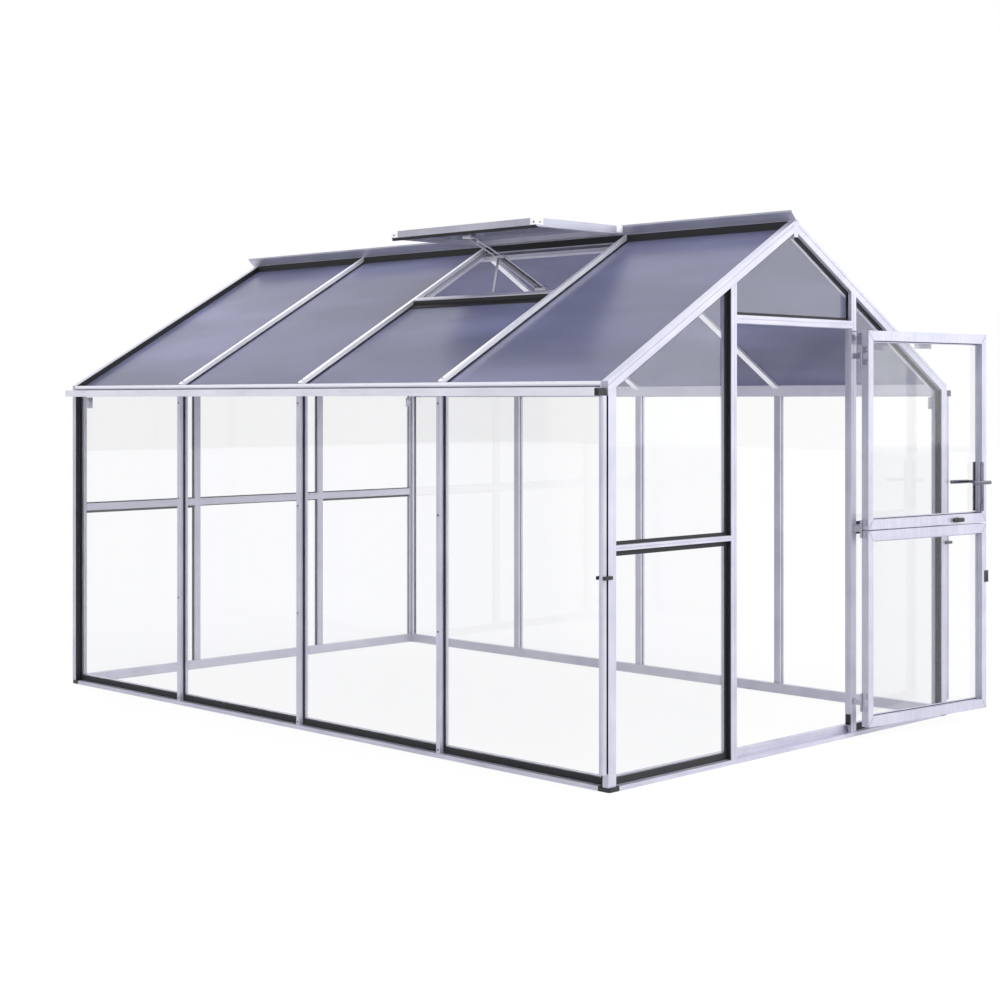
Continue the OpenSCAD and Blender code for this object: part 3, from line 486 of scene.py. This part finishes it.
arms = bmesh.new()
sashFoot = openerPoint("sash")
addBlock(arms, sashFoot - Vector((0.026, 0.028, 0.010)), sashFoot + Vector((0.012, 0.028, 0.0185)), 0.002)
for offset in (-0.020, 0.020):
    addRod(arms, openerPoint("sash", offset), openerPoint("elbow", offset), 0.0045, 0.001, sides=16)
for offset in (-0.030, 0.030):
    addRod(arms, openerPoint("elbow", offset), openerPoint("tube", offset), 0.004, 0.001, sides=16)
    addScrew(arms, openerPoint("elbow", offset * 1.15), (0, offset, 0))
    addScrew(arms, openerPoint("tube", offset * 1.15), (0, offset, 0))
addRod(arms, openerPoint("elbow"), openerPoint("knee"), 0.006, 0.001, sides=16)
addRod(arms, openerPoint("knee"), openerPoint("sill"), 0.005, 0.001, sides=16)
addRod(arms, openerPoint("knee", -0.010), openerPoint("knee", 0.010), 0.009, 0.0015)
addRod(arms, openerPoint("elbow", -0.035), openerPoint("elbow", 0.035), 0.011, 0.002)
addRod(arms, openerPoint("tube", -0.035), openerPoint("tube", 0.035), 0.011, 0.002)
keepPiece("vent_opener_arms", arms, fittingSteel, "frame", ["vent_opener"])

cylinder = bmesh.new()
start, end = openerPoint("elbow"), openerPoint("tube")
addRod(cylinder, start.lerp(end, 0.10), start.lerp(end, 0.86), 0.0115, 0.003)
addRod(cylinder, start.lerp(end, 0.84), start.lerp(end, 0.98), 0.0055, 0.001, sides=16)
addRod(cylinder, start.lerp(end, 0.06), start.lerp(end, 0.12), 0.0085, 0.002)
keepPiece("vent_thrust_cylinder", cylinder, darkSteel, "frame")
print("roof vent made")

# The door leaves are drawn closed, then swung open about the hinge axis
doorSwing = {"hinge": (0.434, -0.070), "open": 173.4}
hingeAxis = Matrix.Translation((*doorSwing["hinge"], 0))
opened = hingeAxis @ Matrix.Rotation(math.radians(doorSwing["open"]), 4, "Z") @ hingeAxis.inverted()

leaf = {"free": -0.438, "hinged": 0.428, "outer": -0.070, "inner": -0.031, "low": 0.050, "split": 0.943,
        "top": 1.850, "stile": 0.034, "rail": 0.045}

handleLook = {"x": -0.401, "spindle": 1.140, "plateLow": 1.000, "plateHigh": 1.236, "lever": 0.122}

handle = bmesh.new()
for face, out in ((leaf["inner"], 1), (leaf["outer"], -1)):
    plateEnds = (face, face + out * 0.006)
    addBlock(handle, (handleLook["x"] - 0.011, min(plateEnds), handleLook["plateLow"]),
             (handleLook["x"] + 0.011, max(plateEnds), handleLook["plateHigh"]), 0.0024, 3, opened)
    for height in (handleLook["plateLow"] + 0.014, handleLook["plateHigh"] - 0.014):
        addScrew(handle, (handleLook["x"], plateEnds[1], height), (0, out, 0), opened, 0.9)
    spindle = Vector((handleLook["x"], plateEnds[1], handleLook["spindle"]))
    addRod(handle, spindle, spindle + Vector((0, out * 0.005, 0)), 0.0105, 0.0015, turn=opened)
    addRod(handle, spindle, spindle + Vector((0, out * 0.040, 0)), 0.0072, 0.001, turn=opened)
    leverEnds = (face + out * 0.041, face + out * 0.055)
    addBlock(handle, (handleLook["x"] - 0.008, min(leverEnds), handleLook["spindle"] - 0.009),
             (handleLook["x"] + handleLook["lever"], max(leverEnds), handleLook["spindle"] + 0.009),
             0.0055, 4, opened)
    lock = Vector((handleLook["x"], plateEnds[1], handleLook["plateLow"] + 0.060))
    addRod(handle, lock, lock + Vector((0, out * 0.003, 0)), 0.0082, 0.001, turn=opened)
    addBlock(handle, (lock.x - 0.004, min(lock.y, lock.y + out * 0.0025), lock.z - 0.020),
             (lock.x + 0.004, max(lock.y, lock.y + out * 0.0025), lock.z), 0.001, 2, opened)
keepPiece("lever_handle", handle, darkSteel, "upper_door", ["door_handle"])

turnLatch = bmesh.new()
pivot = Vector((-0.210, leaf["inner"], leaf["split"] + 0.0225))
addRod(turnLatch, pivot, pivot + Vector((0, 0.008, 0)), 0.012, 0.0015, turn=opened)
addBlock(turnLatch, pivot + Vector((-0.040, 0.008, -0.010)), pivot + Vector((0.040, 0.017, 0.010)),
         0.004, 3, opened)
addRod(turnLatch, pivot + Vector((0, 0.016, 0)), pivot + Vector((0, 0.0175, 0)), 0.007, 0.0006, turn=opened)
keepPiece("turn_latch", turnLatch, blackPlastic, "upper_door", ["door_turn_latch"])

latch = bmesh.new()
latchLow = leaf["split"] - 0.286
addBlock(latch, (leaf["free"] - 0.015, leaf["outer"] + 0.005, latchLow),
         (leaf["free"], leaf["inner"] + 0.0008, latchLow + 0.056), 0.002, 3, opened)
addBlock(latch, (leaf["free"] - 0.015, leaf["inner"] - 0.001, latchLow),
         (leaf["free"] + 0.017, leaf["inner"] + 0.001, latchLow + 0.056), 0.0004, 2, opened)
addRod(latch, (leaf["free"] - 0.0075, leaf["inner"] - 0.02, latchLow + 0.028),
       (leaf["free"] - 0.0075, leaf["inner"] + 0.001, latchLow + 0.028), 0.005, 0.0006, turn=opened)
keepPiece("lower_latch", latch, blackPlastic, "lower_door", ["lower_door_latch"])


# Leaf details: mitre lines at the corners, rubber along the rails, and screws on the stiles and hinges
def leafDetails(name, body, low, high, screwHeights):
    rubber = bmesh.new()
    inside = leaf["inner"]
    for x, across in ((leaf["free"], 1), (leaf["hinged"], -1)):
        for z, up in ((low, 1), (high, -1)):
            run = math.hypot(leaf["stile"], leaf["rail"])
            angle = math.atan2(up * leaf["rail"], across * leaf["stile"])
            turn = opened @ Matrix.Translation((x, inside, z)) @ Matrix.Rotation(-angle, 4, "Y")
            addBlock(rubber, (0.001, -0.0006, -0.0006), (run - 0.001, 0.0003, 0.0006), turn=turn)
    glassLeft, glassRight = leaf["free"] + leaf["stile"], leaf["hinged"] - leaf["stile"]
    for z in (low + leaf["rail"], high - leaf["rail"]):
        inner = z + 0.003 if z < (low + high) / 2 else z - 0.003
        addBlock(rubber, (glassLeft + 0.006, leaf["outer"] + 0.009, min(z, inner)),
                 (glassRight - 0.006, leaf["outer"] + 0.013, max(z, inner)), turn=opened)
    keepPiece(name + "_rubber", rubber, sealRubber, body)
    heads = bmesh.new()
    for height in screwHeights:
        for depth in (0.010, 0.026):
            addScrew(heads, (leaf["hinged"] + 0.003, leaf["outer"] + depth, height), (1, 0, 0), opened, 0.7)
    for x in (leaf["free"] + 0.017, leaf["hinged"] - 0.017):
        for height in (low + 0.022, high - 0.022):
            addScrew(heads, (x, inside, height), (0, 1, 0), opened, 0.6)
    keepPiece(name + "_screws", heads, fittingSteel, body)


leafDetails("upper_leaf", "upper_door", leaf["split"] + 0.0025, leaf["top"], (1.707, 1.763, 0.976))
leafDetails("lower_leaf", "lower_door", leaf["low"], leaf["split"] - 0.0025, (0.132, 0.188, 0.920))

# Screws on the hinge brackets of the door post
bracket = {"x": 0.447, "heights": (1.735, 0.948, 0.160), "rise": 0.007}

bracketScrews = bmesh.new()
for height in bracket["heights"]:
    for way in (-1, 1):
        place = (bracket["x"], plateFace, height + way * bracket["rise"])
        addScrew(bracketScrews, place, (0, -1, 0), size=0.7)
keepPiece("bracket_screws", bracketScrews, darkSteel, "frame")
print("door fittings made")

# Floor and light
stageLook = {
    "size": 80,
    "whiteness": 0.9,          # share of plain white in the floor; the rest takes the shadow
    "brightWay": (0.50, -0.45, 0.74),
    "dim": 0.55,               # sky strength on the side away from brightWay
    "bright": 2.0,
}

floorMaterial, floorTree = newMaterial("studio_floor")
rays = addNode(floorTree, "ShaderNodeLightPath")
seen = addNode(floorTree, "ShaderNodeMath", {"operation": "MAXIMUM"}, {}, {
    0: rays.outputs["Is Glossy Ray"], 1: rays.outputs["Is Transmission Ray"]})
white = addNode(floorTree, "ShaderNodeMath", {"operation": "MULTIPLY"}, {1: stageLook["whiteness"]},
                {0: rays.outputs["Is Camera Ray"]})
share = addNode(floorTree, "ShaderNodeMath", {"operation": "MAXIMUM"}, {}, {
    0: seen.outputs["Value"], 1: white.outputs["Value"]})
matt = addNode(floorTree, "ShaderNodeBsdfDiffuse", {}, {"Color": linearColour("#F4F4F6")})
bright = addNode(floorTree, "ShaderNodeEmission", {}, {"Color": (1, 1, 1, 1), "Strength": 1.0})
floorMix = addNode(floorTree, "ShaderNodeMixShader", {}, {}, {
    0: share.outputs["Value"], 1: matt.outputs["BSDF"], 2: bright.outputs["Emission"]})
addNode(floorTree, "ShaderNodeOutputMaterial", {}, {}, {"Surface": floorMix.outputs["Shader"]})

bpy.ops.mesh.primitive_plane_add(size=stageLook["size"], location=(0, 2, -0.001))
floor = bpy.context.object
floor.name = "studioFloor"
floor.data.materials.append(floorMaterial)

# The sky is white to the camera, and brighter to the right, to the front and above for the metal
world = bpy.data.worlds.new("studioSky")
world.use_nodes = True
sky = world.node_tree
sky.nodes.clear()
skyWay = addNode(sky, "ShaderNodeTexCoord")
towards = addNode(sky, "ShaderNodeVectorMath", {"operation": "DOT_PRODUCT"}, {1: stageLook["brightWay"]},
                  {0: skyWay.outputs["Generated"]})
strength = addNode(sky, "ShaderNodeMapRange", {}, {
    "From Min": -0.5, "From Max": 0.9, "To Min": stageLook["dim"], "To Max": stageLook["bright"]},
    {"Value": towards.outputs["Value"]})
skyRays = addNode(sky, "ShaderNodeLightPath")
shown = addNode(sky, "ShaderNodeMix", {"data_type": "FLOAT"}, {"B": 1.0}, {
    "Factor": skyRays.outputs["Is Camera Ray"], "A": strength.outputs["Result"]})
backdrop = addNode(sky, "ShaderNodeBackground", {}, {"Color": (1, 1, 1, 1)},
                   {"Strength": shown.outputs["Result"]})
addNode(sky, "ShaderNodeOutputWorld", {}, {}, {"Surface": backdrop.outputs["Background"]})
bpy.context.scene.world = world


def softLamp(name, place, aim, power, size):
    bpy.ops.object.light_add(type="AREA", location=place)
    lamp = bpy.context.object
    lamp.name = name
    lamp.data.energy = power
    lamp.data.size = size
    lamp.rotation_euler = (Vector(aim) - Vector(place)).to_track_quat("-Z", "Y").to_euler()


softLamp("keyLamp", (1.5, -9, 7), (0, 1.5, 1), 260, 5)
bpy.context.scene.view_settings.view_transform = "Standard"
print("stage set")
